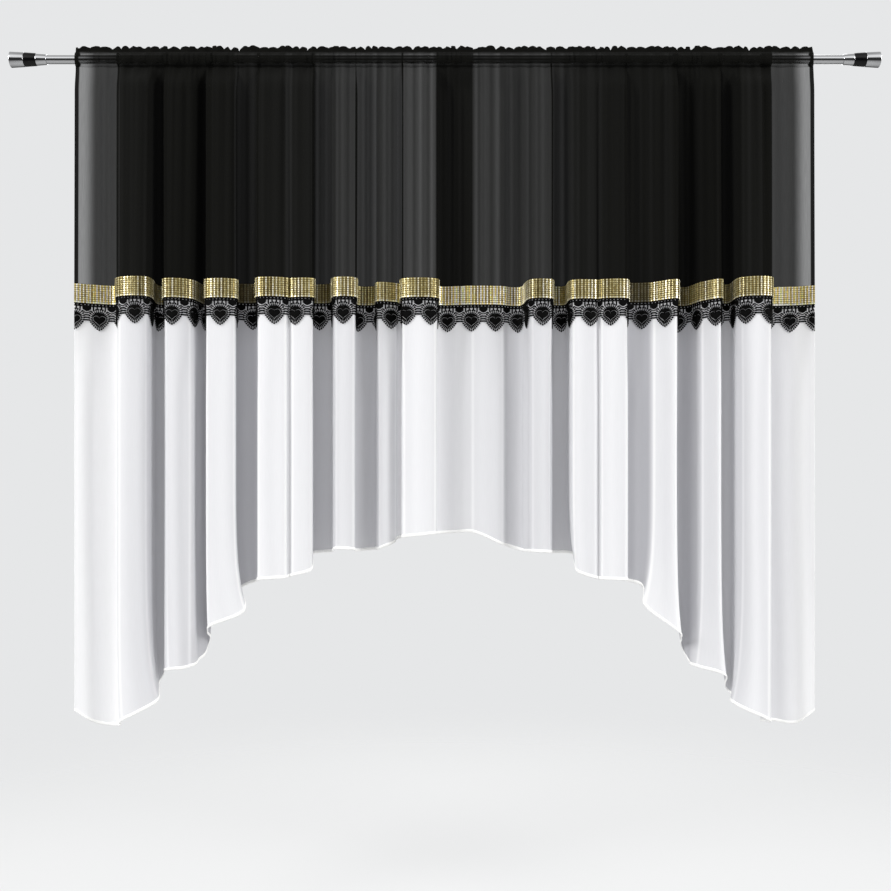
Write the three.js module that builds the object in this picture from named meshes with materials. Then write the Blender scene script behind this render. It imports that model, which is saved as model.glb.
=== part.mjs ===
// Arched sheer curtain on its rod. A black voile upper panel is gathered on the
// rod, a white voile lower panel with an arched hem is sewn under it, and a gold
// stone band and a scalloped heart lace cover the seam.
// Millimetres. X runs along the rod, -Y is the front, +Z is up, and the origin
// is the middle of the rod's axis.

import * as THREE from 'three';

// Rod and finials
const ROD_DIAMETER = 19;
const FINIAL_START = 878;
const SOCKET_DEPTH = 20;
const FIT_GAP = 0.3;
const ROUND_SIDES = 20;
const FINIAL_RINGS = [
  { name: 'cone', length: 23, innerDiameter: 22, outerDiameter: 25.5, finish: 'chrome' },
  { name: 'ring', length: 25.5, innerDiameter: 27, outerDiameter: 30.5, finish: 'enamel' },
  { name: 'end', length: 30.5, innerDiameter: 31, outerDiameter: 34.5, finish: 'chrome' },
];

// Heights of the seam and what covers it, measured from the rod's axis
const BAND_TOP = -492.5;
const BAND_HEIGHT = 42.5;
const BAND_BOTTOM = BAND_TOP - BAND_HEIGHT;
const UPPER_END = BAND_BOTTOM + 8;
const LOWER_START = UPPER_END + 6;
const LACE_START = BAND_BOTTOM + 14;
const LACE_DROP = 60;
const BELOW_LACE = BAND_BOTTOM - LACE_DROP - 8;

// A fold that swings forward hangs this much higher, per millimetre of swing
const SWING_LIFT = 0.058;

// Sheets: how far each face stands in front of the sewing line
const BLACK_FRONT = 0.5;
const BLACK_BACK = -0.5;
const LACE_FRONT = 1.9;
const LACE_BACK = 0.8;
const BAND_FRONT = 3.4;
const BAND_BACK = 2.2;
const WHITE_FRONT = -1.0;
const WHITE_BACK = -2.0;

// Gathered heading round the rod
const CHANNEL_HALF = (ROD_DIAMETER / 2 + FIT_GAP) * Math.SQRT2;
const POCKET_WALL = 1.4;
const HEADING_TOP = 29.5;
const HEADING_JOIN = CHANNEL_HALF + 1.8;
const POCKET_SEAM = -CHANNEL_HALF - 3.2;
const RUFFLE_OUT = 3.4;
const RUFFLE_DROP = 5.5;
const RUFFLE_SWAY = 2.4;
const SEAM_SWAY_SHARE = 0.3;
const GATHER_HALF = 1.2;
const CREST_TURN = 1.83;
const CREST_WANDER = 1.7;
const WANDER_TURN = 0.31;

// The gathers open into the folds over this height, at a part of their depth
const FOLDS_OPEN = -88;
const FOLDS_OPEN_SHARE = 0.5;
const FOLDS_PLACE_SHARE = 0.75;
const SPREAD_REACH = 9;

// Lace: one scallop is four stations wide, and the cloth's sides cut one at its tip
const SCALLOPS = 55;
const STATIONS_PER_SCALLOP = 4;
const STATIONS = SCALLOPS * STATIONS_PER_SCALLOP;
const SCALLOP_VALLEY = 38.5;
const SCALLOP_SHOULDER = 51;
const CURVE_STEPS = 4000;

// Open gaps of the lace in one quarter scallop: share of its width from the
// valley line, and drop below the band
const VALLEY_GAP = [
  { across: 0, drop: 18.5 },
  { across: 0.3, drop: 21 },
  { across: 0.27, drop: 28 },
  { across: 0, drop: 30 },
];
const SIDE_GAP = [
  { across: 0.48, drop: 10 },
  { across: 0.83, drop: 7 },
  { across: 0.92, drop: 12.5 },
  { across: 0.57, drop: 19 },
];

// Folds of the hanging cloth seen from above, left to right. A row is one front
// fold with its two shoulders, then the floor of the hollow after it. Out says how
// far a point stands forward of the rod, shift how far it has moved sideways by
// the hem, and drop how far below the rod's axis the hem is there.
const FOLD_COLUMNS = [
  'left', 'leftOut', 'right', 'rightOut', 'floorLeft', 'floorRight', 'floorOut',
  'leftShift', 'rightShift', 'floorLeftShift', 'floorRightShift',
  'leftDrop', 'rightDrop', 'floorLeftDrop', 'floorRightDrop',
];
const FOLDS = [
  [-706, 50, -646, 54, -640, -621, -27, 6, 26, 4, -8, 1450, 1406, 1384, 1360],
  [-607, 42, -556, 30, -536, -522, -28, 4, 0, 3, -5, 1342, 1337, 1314, 1284],
  [-519, 36, -458, 34, -457, -414, -7, 4, 24, 10, -6, 1250, 1212, 1166, 1152],
  [-404, 50, -344, 46, -341, -336, 38, 0, 0, 0, 0, 1145, 1141, 1140, 1138],
  [-333, 42, -288, 42, -292, -255, -11, 0, 0, 0, 0, 1137, 1124, 1092, 1087],
  [-237, 50, -197, 48, -196, -156, -31, 0, 0, 0, 0, 1078, 1080, 1086, 1082],
  [-147, 5, -107, -6, -104, -94, -20, 0, 0, 0, 0, 1080, 1064, 1058, 1055],
  [-91, 38, -20, 38, -15, 24, -33, 0, 0, 0, 0, 1053, 1046, 1047, 1045],
  [62, -28, 129, -32, 142, 170, -40, 0, 0, 0, 0, 1044, 1072, 1076, 1085],
  [190, 32, 231, 32, 240, 268, -32, 0, 0, 0, 16, 1085, 1087, 1090, 1093],
  [280, 26, 330, 27, 334, 338, 22, 6, 0, 0, 0, 1127, 1143, 1144, 1145],
  [341, 31, 397, 33, 400, 448, 0, 0, 0, 0, -14, 1145, 1147, 1150, 1162],
  [460, 5, 505, 33, 516, 543, -38, -24, 9, 14, 0, 1200, 1264, 1295, 1333],
  [566, 6, 600, 36, 611, 630, -15, -14, 10, 14, 6, 1339, 1354, 1390, 1405],
  [643, 50, 704, 54, 713, 730, -42, -23, 0, 0, 0, 1411, 1449, 1466, 1466],
];

// The flat edge panels hang at the back, beside the outermost folds
const LEFT_EDGE = [
  { x: -820, out: -5, drop: 1438 },
  { x: -778, out: -20, drop: 1467 },
  { x: -732, out: -27, drop: 1475 },
];
const RIGHT_EDGE = [
  { x: 785, out: -36, drop: 1471 },
  { x: 824, out: -24, drop: 1441 },
];

const finishes = {
  chrome: new THREE.MeshStandardMaterial({ color: 0xd4d6d8, roughness: 0.12, metalness: 1 }),
  enamel: new THREE.MeshStandardMaterial({ color: 0x0e0e0f, roughness: 0.25, metalness: 0 }),
  blackVoile: new THREE.MeshStandardMaterial({ color: 0x141413, roughness: 0.85, metalness: 0 }),
  whiteVoile: new THREE.MeshStandardMaterial({ color: 0xf3f3f1, roughness: 0.85, metalness: 0 }),
  goldStones: new THREE.MeshStandardMaterial({ color: 0xb79e5a, roughness: 0.25, metalness: 0.9 }),
  blackLace: new THREE.MeshStandardMaterial({ color: 0x0d0d0d, roughness: 0.8, metalness: 0 }),
};

const curtain = new THREE.Group();

function addPiece(name, geometry, finish) {
  geometry.computeVertexNormals();
  const mesh = new THREE.Mesh(geometry, finishes[finish]);
  mesh.name = name;
  curtain.add(mesh);
}

function geometryFrom(positions, indices) {
  const geometry = new THREE.BufferGeometry();
  geometry.setAttribute('position', new THREE.Float32BufferAttribute(positions, 3));
  geometry.setIndex(indices);
  return geometry;
}

function smoothCurve(points) {
  const curve = new THREE.CatmullRomCurve3(points, false, 'centripetal');
  curve.arcLengthDivisions = CURVE_STEPS;
  return curve;
}

// Plan of the folds at the seam, and the hem's line in space
function foldCurves() {
  const folds = FOLDS.map((row) => Object.fromEntries(row.map((v, k) => [FOLD_COLUMNS[k], v])));
  const seamPoints = [];
  const hemPoints = [];
  const addPoint = (x, out, shift, drop) => {
    seamPoints.push(new THREE.Vector3(x, -out, 0));
    hemPoints.push(new THREE.Vector3(x + shift, -out, -drop));
  };
  LEFT_EDGE.forEach((p) => addPoint(p.x, p.out, 0, p.drop));
  folds.forEach((fold) => {
    addPoint(fold.left, fold.leftOut, fold.leftShift, fold.leftDrop);
    addPoint(fold.right, fold.rightOut, fold.rightShift, fold.rightDrop);
    addPoint(fold.floorLeft, fold.floorOut, fold.floorLeftShift, fold.floorLeftDrop);
    addPoint(fold.floorRight, fold.floorOut, fold.floorRightShift, fold.floorRightDrop);
  });
  RIGHT_EDGE.forEach((p) => addPoint(p.x, p.out, 0, p.drop));
  return [smoothCurve(seamPoints), smoothCurve(hemPoints)];
}

// Stations of a line seen from above: each holds its place and the direction of
// its front face, lengthened at a bend so that parallel sheets keep their distance
function stationsOf(points) {
  const fronts = [];
  for (let i = 0; i + 1 < points.length; i += 1) {
    const run = new THREE.Vector2(points[i + 1].x - points[i].x, points[i + 1].y - points[i].y);
    run.normalize();
    fronts.push(new THREE.Vector2(run.y, -run.x));
  }
  return points.map((p, i) => {
    const before = fronts[Math.max(i - 1, 0)];
    const after = fronts[Math.min(i, fronts.length - 1)];
    const front = before.clone().add(after).divideScalar(1 + before.dot(after));
    return { x: p.x, y: p.y, z: p.z, front };
  });
}

function place(station, distance, z) {
  const x = station.x + station.front.x * distance;
  return new THREE.Vector3(x, station.y + station.front.y * distance, z);
}

// Stations are evenly spaced along the seam, and each keeps its place in its
// fold down to the hem
const [seamCurve, hemCurve] = foldCurves();
const marks = Array.from({ length: STATIONS + 1 }, (_, i) => seamCurve.getUtoTmapping(i / STATIONS));
const seamLine = stationsOf(marks.map((t) => seamCurve.getPoint(t)));
const hemLine = stationsOf(marks.map((t) => hemCurve.getPoint(t)));
const swing = seamLine.map((s) => -s.y * SWING_LIFT);

// Skin over closed rings of points, one ring a station. A ring goes down the
// front and up the back, and both sides split their quads the same way, so a
// twisted sheet keeps its thickness. A channel ring is walked the same way
// round and faces inwards.
function loft(rings, channels = []) {
  const positions = [];
  const indices = [];
  const starts = { outer: [], channel: [] };
  const addRing = (ring, list) => {
    list.push(positions.length / 3);
    ring.forEach((p) => positions.push(p.x, p.y, p.z));
  };
  rings.forEach((ring) => addRing(ring, starts.outer));
  channels.forEach((ring) => addRing(ring, starts.channel));

  const skin = (list, count, inwards) => {
    for (let i = 0; i + 1 < list.length; i += 1) {
      for (let k = 0; k < count; k += 1) {
        const next = (k + 1) % count;
        const quad = [list[i] + k, list[i] + next, list[i + 1] + next, list[i + 1] + k];
        if (k >= count / 2) quad.push(quad.shift());
        if (inwards) quad.reverse();
        indices.push(quad[0], quad[1], quad[2], quad[0], quad[2], quad[3]);
      }
    }
  };
  skin(starts.outer, rings[0].length, false);
  if (channels.length > 0) skin(starts.channel, channels[0].length, true);

  // End faces, seen along the rod
  [0, rings.length - 1].forEach((end) => {
    const flat = (ring) => ring.map((p) => new THREE.Vector2(p.y, p.z));
    const holes = channels.length > 0 ? [flat(channels[end])] : [];
    const at = rings[end].map((_, k) => starts.outer[end] + k);
    if (channels.length > 0) channels[end].forEach((_, k) => at.push(starts.channel[end] + k));
    THREE.ShapeUtils.triangulateShape(flat(rings[end]), holes).forEach((face) => {
      const [a, b, c] = face.map((k) => at[k]);
      if (end === 0) indices.push(a, c, b);
      else indices.push(a, b, c);
    });
  });
  return geometryFrom(positions, indices);
}

// Rising and falling gathers of the heading, from -1 to 1
function gather(i) {
  return Math.sin(CREST_TURN * i + CREST_WANDER * Math.sin(WANDER_TURN * i));
}

// Where a station lies along the rod: the folds' places, evened out
function alongRod(i) {
  const reach = Math.min(SPREAD_REACH, i, STATIONS - i);
  let sum = 0;
  for (let k = i - reach; k <= i + reach; k += 1) sum += seamLine[k].x;
  return sum / (2 * reach + 1);
}

function buildUpperPanel() {
  const rodPlaces = seamLine.map((_, i) => alongRod(i));
  const openLine = stationsOf(seamLine.map((seam, i) => {
    const x = rodPlaces[i] + (seam.x - rodPlaces[i]) * FOLDS_PLACE_SHARE;
    return new THREE.Vector3(x, seam.y * FOLDS_OPEN_SHARE, 0);
  }));
  const rings = [];
  const channels = [];
  for (let i = 0; i <= STATIONS; i += 1) {
    const x = rodPlaces[i];
    const crest = (1 + gather(i)) / 2;
    const half = CHANNEL_HALF + RUFFLE_OUT * crest;
    const sway = RUFFLE_SWAY * gather(i + 1);
    const top = HEADING_TOP - RUFFLE_DROP * (1 - crest);
    const at = (y, z) => new THREE.Vector3(x, y, z);
    const end = UPPER_END + swing[i];
    rings.push([
      at(sway - GATHER_HALF, top),
      at(-GATHER_HALF, HEADING_JOIN),
      at(-half - POCKET_WALL, 0),
      at(sway * SEAM_SWAY_SHARE - GATHER_HALF, POCKET_SEAM),
      place(openLine[i], BLACK_FRONT, FOLDS_OPEN),
      place(seamLine[i], BLACK_FRONT, end),
      place(seamLine[i], BLACK_BACK, end),
      place(openLine[i], BLACK_BACK, FOLDS_OPEN),
      at(sway * SEAM_SWAY_SHARE + GATHER_HALF, POCKET_SEAM),
      at(half + POCKET_WALL, 0),
      at(GATHER_HALF, HEADING_JOIN),
      at(sway + GATHER_HALF, top),
    ]);
    channels.push([
      at(0, CHANNEL_HALF),
      at(-half, 0),
      at(0, -CHANNEL_HALF),
      at(half, 0),
    ]);
  }
  addPiece('upper_panel', loft(rings, channels), 'blackVoile');
}

function buildLowerPanel() {
  const rings = seamLine.map((seam, i) => {
    const hem = hemLine[i];
    return [
      place(seam, WHITE_FRONT, LOWER_START + swing[i]),
      place(seam, WHITE_FRONT, BELOW_LACE + swing[i]),
      place(hem, WHITE_FRONT, hem.z),
      place(hem, WHITE_BACK, hem.z),
      place(seam, WHITE_BACK, BELOW_LACE + swing[i]),
      place(seam, WHITE_BACK, LOWER_START + swing[i]),
    ];
  });
  addPiece('lower_panel', loft(rings), 'whiteVoile');
}

function buildGoldBand() {
  const rings = seamLine.map((seam, i) => [
    place(seam, BAND_FRONT, BAND_TOP + swing[i]),
    place(seam, BAND_FRONT, BAND_BOTTOM + swing[i]),
    place(seam, BAND_BACK, BAND_BOTTOM + swing[i]),
    place(seam, BAND_BACK, BAND_TOP + swing[i]),
  ]);
  addPiece('gold_band', loft(rings), 'goldStones');
}

// Outline and gaps of one quarter scallop. Across runs from the valley line, 0,
// to the tip side, 1. Open edges are those that the next quarter doesn't share.
function laceQuarter(nearValley, atSide) {
  const start = nearValley ? SCALLOP_VALLEY : SCALLOP_SHOULDER;
  const finish = nearValley ? SCALLOP_SHOULDER : LACE_DROP;
  const top = BAND_BOTTOM - LACE_START;
  const outline = [
    { across: 0, drop: start, open: true },
    { across: 1, drop: finish, open: atSide },
    { across: 1, drop: top, open: true },
    { across: 0, drop: top, open: false },
  ];
  if (nearValley) {
    const last = VALLEY_GAP.length - 1;
    VALLEY_GAP.forEach((p, k) => outline.push({ ...p, open: k < last }));
  }
  return { outline, holes: nearValley ? [SIDE_GAP] : [] };
}

function buildLaceTrim() {
  const positions = [];
  const indices = [];
  for (let i = 0; i < STATIONS; i += 1) {
    const quarter = (i + STATIONS_PER_SCALLOP / 2) % STATIONS_PER_SCALLOP;
    const mirrored = quarter >= STATIONS_PER_SCALLOP / 2;
    const nearValley = quarter === 0 || quarter === STATIONS_PER_SCALLOP - 1;
    const atSide = i === 0 || i === STATIONS - 1;
    const { outline, holes } = laceQuarter(nearValley, atSide);
    const loops = [outline, ...holes];
    const [from, to] = mirrored ? [i + 1, i] : [i, i + 1];

    // Front points, then back points, of every loop
    const first = positions.length / 3;
    const flat = loops.map((loop) => loop.map((p) => new THREE.Vector2(p.across, -p.drop / LACE_DROP)));
    const count = loops.flat().length;
    [LACE_FRONT, LACE_BACK].forEach((distance) => {
      loops.flat().forEach((p) => {
        const a = place(seamLine[from], distance, BAND_BOTTOM - p.drop + swing[from]);
        const b = place(seamLine[to], distance, BAND_BOTTOM - p.drop + swing[to]);
        a.lerp(b, p.across);
        positions.push(a.x, a.y, a.z);
      });
    });

    const addFace = (a, b, c) => {
      if (mirrored) indices.push(first + a, first + c, first + b);
      else indices.push(first + a, first + b, first + c);
    };
    THREE.ShapeUtils.triangulateShape(flat[0], flat.slice(1)).forEach(([a, b, c]) => {
      addFace(a, b, c);
      addFace(count + a, count + c, count + b);
    });
    let start = 0;
    loops.forEach((loop, which) => {
      loop.forEach((p, k) => {
        if (which === 0 && !p.open) return;
        const a = start + k;
        const b = start + ((k + 1) % loop.length);
        addFace(a, count + a, count + b);
        addFace(a, count + b, b);
      });
      start += loop.length;
    });
  }
  addPiece('lace_trim', geometryFrom(positions, indices), 'blackLace');
}

function buildRod() {
  const length = 2 * (FINIAL_START + SOCKET_DEPTH - FIT_GAP);
  const rod = new THREE.CylinderGeometry(ROD_DIAMETER / 2, ROD_DIAMETER / 2, length, ROUND_SIDES);
  rod.rotateZ(Math.PI / 2);
  addPiece('rod', rod, 'chrome');
}

// A finial's three rings share one taper. The cone takes the rod's end.
function buildFinial(side) {
  let start = FINIAL_START;
  for (const ring of FINIAL_RINGS) {
    const bore = ring.name === 'cone' ? ROD_DIAMETER / 2 + FIT_GAP : 0;
    const outer = new THREE.Vector2(ring.outerDiameter / 2, start + ring.length);
    const inner = new THREE.Vector2(ring.innerDiameter / 2, start);
    const profile = [new THREE.Vector2(0, outer.y), outer, inner];
    if (bore > 0) {
      profile.push(new THREE.Vector2(bore, start));
      profile.push(new THREE.Vector2(bore, start + SOCKET_DEPTH));
      profile.push(new THREE.Vector2(0, start + SOCKET_DEPTH));
    } else {
      profile.push(new THREE.Vector2(0, start));
    }
    const body = new THREE.LatheGeometry(profile.reverse(), ROUND_SIDES);
    body.rotateZ(side.turn);
    addPiece(`finial_${side.name}_${ring.name}`, body, ring.finish);
    start += ring.length + FIT_GAP;
  }
}

buildRod();
[{ name: 'left', turn: Math.PI / 2 }, { name: 'right', turn: -Math.PI / 2 }].forEach(buildFinial);
buildUpperPanel();
buildLowerPanel();
buildGoldBand();
buildLaceTrim();

export default curtain;
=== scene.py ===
import math
import random

import bmesh
import bpy
import numpy as np
from mathutils import Matrix, Vector


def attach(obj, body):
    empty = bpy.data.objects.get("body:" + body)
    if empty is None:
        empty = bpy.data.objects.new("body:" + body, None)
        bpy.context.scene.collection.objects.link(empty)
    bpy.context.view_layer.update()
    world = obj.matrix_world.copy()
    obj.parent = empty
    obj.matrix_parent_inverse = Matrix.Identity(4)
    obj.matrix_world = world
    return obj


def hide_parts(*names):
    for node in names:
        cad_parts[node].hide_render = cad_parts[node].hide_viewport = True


# Arched sheer curtain on a chromed rod: black voile gathered over white voile, with a
# gold stone band and a black heart lace along the seam between them.
# Sizes are millimetres in the tables below and turn into metres where a mesh is made.

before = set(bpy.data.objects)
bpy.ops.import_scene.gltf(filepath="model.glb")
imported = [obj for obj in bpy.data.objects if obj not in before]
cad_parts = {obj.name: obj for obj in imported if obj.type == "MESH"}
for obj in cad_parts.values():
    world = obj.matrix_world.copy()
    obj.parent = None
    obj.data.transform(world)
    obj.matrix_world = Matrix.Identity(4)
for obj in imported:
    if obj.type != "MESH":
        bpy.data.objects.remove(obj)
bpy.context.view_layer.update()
mm = 0.001

print("cloth path")

seam = {
    "bandTop": -492.5,
    "bandHeight": 42.5,
    "blackEnd": -527.0,
    "whiteStart": -521.0,
    "belowLace": -603.0,
    "lift": 0.058,          # how much higher a fold hangs per mm it swings forward
}

# one row a fold, seen from above, left to right: the front of the fold, then the floor of
# the hollow after it; out is forward of the rod, shift is sideways by the hem
foldNames = ("left", "leftOut", "right", "rightOut", "floorLeft", "floorRight", "floorOut",
             "leftShift", "rightShift", "floorLeftShift", "floorRightShift",
             "leftDrop", "rightDrop", "floorLeftDrop", "floorRightDrop")
folds = [dict(zip(foldNames, row)) for row in (
    (-706, 50, -646, 54, -640, -621, -27, 6, 26, 4, -8, 1450, 1406, 1384, 1360),
    (-607, 42, -556, 30, -536, -522, -28, 4, 0, 3, -5, 1342, 1337, 1314, 1284),
    (-519, 36, -458, 34, -457, -414, -7, 4, 24, 10, -6, 1250, 1212, 1166, 1152),
    (-404, 50, -344, 46, -341, -336, 38, 0, 0, 0, 0, 1145, 1141, 1140, 1138),
    (-333, 42, -288, 42, -292, -255, -11, 0, 0, 0, 0, 1137, 1124, 1092, 1087),
    (-237, 50, -197, 48, -196, -156, -31, 0, 0, 0, 0, 1078, 1080, 1086, 1082),
    (-147, 5, -107, -6, -104, -94, -20, 0, 0, 0, 0, 1080, 1064, 1058, 1055),
    (-91, 38, -20, 38, -15, 24, -33, 0, 0, 0, 0, 1053, 1046, 1047, 1045),
    (62, -28, 129, -32, 142, 170, -40, 0, 0, 0, 0, 1044, 1072, 1076, 1085),
    (190, 32, 231, 32, 240, 268, -32, 0, 0, 0, 16, 1085, 1087, 1090, 1093),
    (280, 26, 330, 27, 334, 338, 22, 6, 0, 0, 0, 1127, 1143, 1144, 1145),
    (341, 31, 397, 33, 400, 448, 0, 0, 0, 0, -14, 1145, 1147, 1150, 1162),
    (460, 5, 505, 33, 516, 543, -38, -24, 9, 14, 0, 1200, 1264, 1295, 1333),
    (566, 6, 600, 36, 611, 630, -15, -14, 10, 14, 6, 1339, 1354, 1390, 1405),
    (643, 50, 704, 54, 713, 730, -42, -23, 0, 0, 0, 1411, 1449, 1466, 1466),
)]
leftEdge = ((-820, -5, 1438), (-778, -20, 1467), (-732, -27, 1475))
rightEdge = ((785, -36, 1471), (824, -24, 1441))

# how each fold looks: light let through by the black cloth on its front and in its hollow,
# then the white cloth's painted shading at its left, its right and painted shade in its hollow
lookNames = ("blackFront", "blackFloor", "whiteLitLeft", "whiteLitRight", "whiteLitFloor")
looks = [dict(zip(lookNames, row)) for row in (
    (0.004, 0.002, 1.00, 0.45, 0.30),
    (0.001, 0.001, 0.82, 0.62, 0.02),
    (0.002, 0.008, 0.90, 0.94, 0.02),
    (0.004, 0.018, 0.96, 0.96, 0.60),
    (0.005, 0.020, 0.96, 0.94, 0.26),
    (0.034, 0.035, 0.72, 0.84, 0.32),
    (0.034, 0.038, 0.80, 0.74, 0.80),
    (0.054, 0.003, 0.97, 0.97, 0.82),
    (0.040, 0.026, 0.80, 0.62, 0.45),
    (0.034, 0.016, 0.62, 0.66, 0.30),
    (0.006, 0.007, 0.97, 0.72, 0.60),
    (0.003, 0.003, 0.96, 0.94, 0.00),
    (0.003, 0.002, 0.98, 0.96, 0.04),
    (0.001, 0.002, 0.86, 0.84, 0.38),
    (0.004, 0.003, 0.60, 1.00, 0.60),
)]
# painted shading of the white cloth at its two sides, a little lighter than the fronts
edgeShading = {"left": 1.08, "right": 1.12}
# painted highlight down each edge of a front: how much lighter, and how wide
rimHighlight = {"white": 0.30, "width": 3.2}     # the bright line down each edge of a front


def foldPoints():
    # control points of the seam and of the hem, and the white cloth's painted shading at each
    atSeam, atHem, white = [], [], []

    def addPoint(x, out, shift, drop, paintedShading):
        atSeam.append((x, -out, 0.0))
        atHem.append((x + shift, -out, -drop))
        white.append(paintedShading)

    for x, out, drop in leftEdge:
        addPoint(x, out, 0, drop, edgeShading["left"])
    for fold, look in zip(folds, looks):
        for place, depth, paintedShading in (("left", "leftOut", "whiteLitLeft"),
                                        ("right", "rightOut", "whiteLitRight"),
                                        ("floorLeft", "floorOut", "whiteLitFloor"),
                                        ("floorRight", "floorOut", "whiteLitFloor")):
            shift, drop = fold[place + "Shift"], fold[place + "Drop"]
            addPoint(fold[place], fold[depth], shift, drop, look[paintedShading])
    for x, out, drop in rightEdge:
        addPoint(x, out, 0, drop, edgeShading["right"])
    return np.array(atSeam), np.array(atHem), np.array(white)


def distances(line):
    # how far along a line each of its points lies
    return np.concatenate([[0], np.cumsum(np.linalg.norm(np.diff(line, axis=0), axis=1))])


def unit(vectors):
    return vectors / np.linalg.norm(vectors, axis=1)[:, None]


def roundTurns(count):
    return 2 * math.pi * np.arange(count) / count


def smoothPath(points, steps):
    # centripetal spline through the points, as the solids have
    p = np.vstack([2 * points[0] - points[1], points, 2 * points[-1] - points[-2]])
    t = (np.arange(steps) / steps)[:, None]
    runs = []
    for a, b, c, d in zip(p, p[1:], p[2:], p[3:]):
        ab, bc, cd = (math.sqrt(np.linalg.norm(v)) for v in (b - a, c - b, d - c))
        leave = ((b - a) / ab - (c - a) / (ab + bc) + (c - b) / bc) * bc
        reach = ((c - b) / bc - (d - b) / (bc + cd) + (d - c) / cd) * bc
        curve = b + leave * t + (3 * (c - b) - 2 * leave - reach) * t**2
        runs.append(curve + (leave + reach - 2 * (c - b)) * t**3)
    return np.vstack(runs + [p[-2:-1]])


pathSteps = 60
seamPoints, hemPoints, pointShading = foldPoints()
seamPath = smoothPath(seamPoints, pathSteps)
hemPath = smoothPath(hemPoints, pathSteps)
pathMarks = distances(seamPath[:, :2])
clothWidth = pathMarks[-1]
print("flat width of the cloth", round(clothWidth), "mm")


def clothLine(s):
    # places of the flat cloth's distances s on the seam and on the hem, and their painted shading and
    # highlights
    at = np.interp(s, pathMarks, np.arange(len(pathMarks)))
    whole = np.arange(len(pathMarks))
    upper = np.stack([np.interp(at, whole, seamPath[:, k]) for k in (0, 1)], axis=-1)
    lower = np.stack([np.interp(at, whole, hemPath[:, k]) for k in (0, 1, 2)], axis=-1)
    white = np.interp(at / pathSteps, np.arange(len(pointShading)), pointShading)
    # painted highlight: a bright line down each edge of a front
    for k in range(3, len(pointShading) - 2, 4):
        for bend in (pathMarks[k * pathSteps], pathMarks[(k + 1) * pathSteps]):
            white = white + rimHighlight["white"] * np.exp(-((s - bend) / rimHighlight["width"]) ** 2)
    return upper, lower, white


def fronts(line):
    # unit normals on the room side of a plan line
    run = unit(np.gradient(line, axis=0))
    return np.stack([run[:, 1], -run[:, 0]], axis=-1)


def smoothStep(x, low, high):
    t = np.clip((x - low) / (high - low), 0, 1)
    return t * t * (3 - 2 * t)


def waves(s, seed, length, count=7):
    # uneven waves along a line, about one unit high
    draw = random.Random(seed)
    total = np.zeros_like(s)
    for _ in range(count):
        pitch = length * draw.uniform(0.7, 1.6)
        total += draw.uniform(0.5, 1.0) * np.sin(2 * math.pi * s / pitch + draw.uniform(0, 6.28))
    return total / math.sqrt(count * 0.3)


def addObject(name, data):
    added = bpy.data.objects.new(name, data)
    bpy.context.scene.collection.objects.link(added)
    return added


def makeSheet(name, grid, marks, extra=None):
    # a quad sheet through grid[row][column], with its flat cloth's metres as its UV map
    rows, columns, _ = grid.shape
    index = np.arange(rows * columns).reshape(rows, columns)
    corners = [index[1:, :-1], index[1:, 1:], index[:-1, 1:], index[:-1, :-1]]
    quads = np.stack(corners, axis=-1).reshape(-1, 4)
    mesh = bpy.data.meshes.new(name)
    mesh.from_pydata((grid.reshape(-1, 3) * mm).tolist(), [], quads.tolist())
    down = np.concatenate([
        np.zeros((1, columns)),
        np.cumsum(np.linalg.norm(np.diff(grid, axis=0), axis=2), axis=0),
    ])
    flat = np.stack([np.broadcast_to(marks, (rows, columns)), -down], axis=-1) * mm
    uvMap = mesh.uv_layers.new(name="cloth")
    uvMap.data.foreach_set("uv", flat.reshape(-1, 2)[quads.ravel()].ravel())
    for label, values in (extra or {}).items():
        layer = mesh.attributes.new(label, "FLOAT", "POINT")
        layer.data.foreach_set("value", np.ascontiguousarray(values, np.float32).ravel())
    mesh.shade_smooth()
    return addObject(name, mesh)


sideHem = {"width": 8.0, "columns": 5, "behind": 0.9}     # turned back behind the cloth


def sheetColumns(count):
    # distances along the cloth, with each side turned back on itself for its hem
    width, turned = sideHem["width"], sideHem["columns"]
    back = np.linspace(width, 0, turned)
    marks = np.concatenate([back, np.linspace(0, clothWidth, count), clothWidth - back[::-1]])
    behind = np.zeros(len(marks))
    behind[:turned] = behind[-turned:] = 1.0
    hemmed = (np.minimum(marks, clothWidth - marks) <= width) * 1.0
    return marks, behind, hemmed


def hexColor(text):
    channels = [int(text[k:k + 2], 16) / 255 for k in (1, 3, 5)]
    linear = [c / 12.92 if c <= 0.04045 else ((c + 0.055) / 1.055) ** 2.4 for c in channels]
    return (*linear, 1.0)


def addNode(tree, kind, settings=None, links=None):
    # settings go to the node or to its sockets, and a ramp's stops start with its two ends;
    # a link comes from a socket, or from a node's first one
    node = tree.nodes.new(kind)
    for key, value in (settings or {}).items():
        if key == "stops":
            for k, (place, color) in enumerate(value):
                elements = node.color_ramp.elements
                stop = elements[k] if k < 2 else elements.new(place)
                stop.position, stop.color = place, color
        elif isinstance(key, int) or key in node.inputs:
            node.inputs[key].default_value = value
        else:
            setattr(node, key, value)
    for key, source in (links or {}).items():
        isNode = isinstance(source, bpy.types.Node)
        tree.links.new(source.outputs[0] if isNode else source, node.inputs[key])
    return node


def newMaterial(makeSurface):
    # a material named for its function, which adds its nodes and returns the surface's shader
    material = bpy.data.materials.new(makeSurface.__name__)
    material.use_nodes = True
    tree = material.node_tree
    tree.nodes.clear()
    addNode(tree, "ShaderNodeOutputMaterial", None, {"Surface": makeSurface(tree)})
    return material


print("materials")

threadPitch = {"voile": 1.4 * mm, "lace": 0.8 * mm}    # voile's is 0.35, drawn coarser to show


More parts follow.
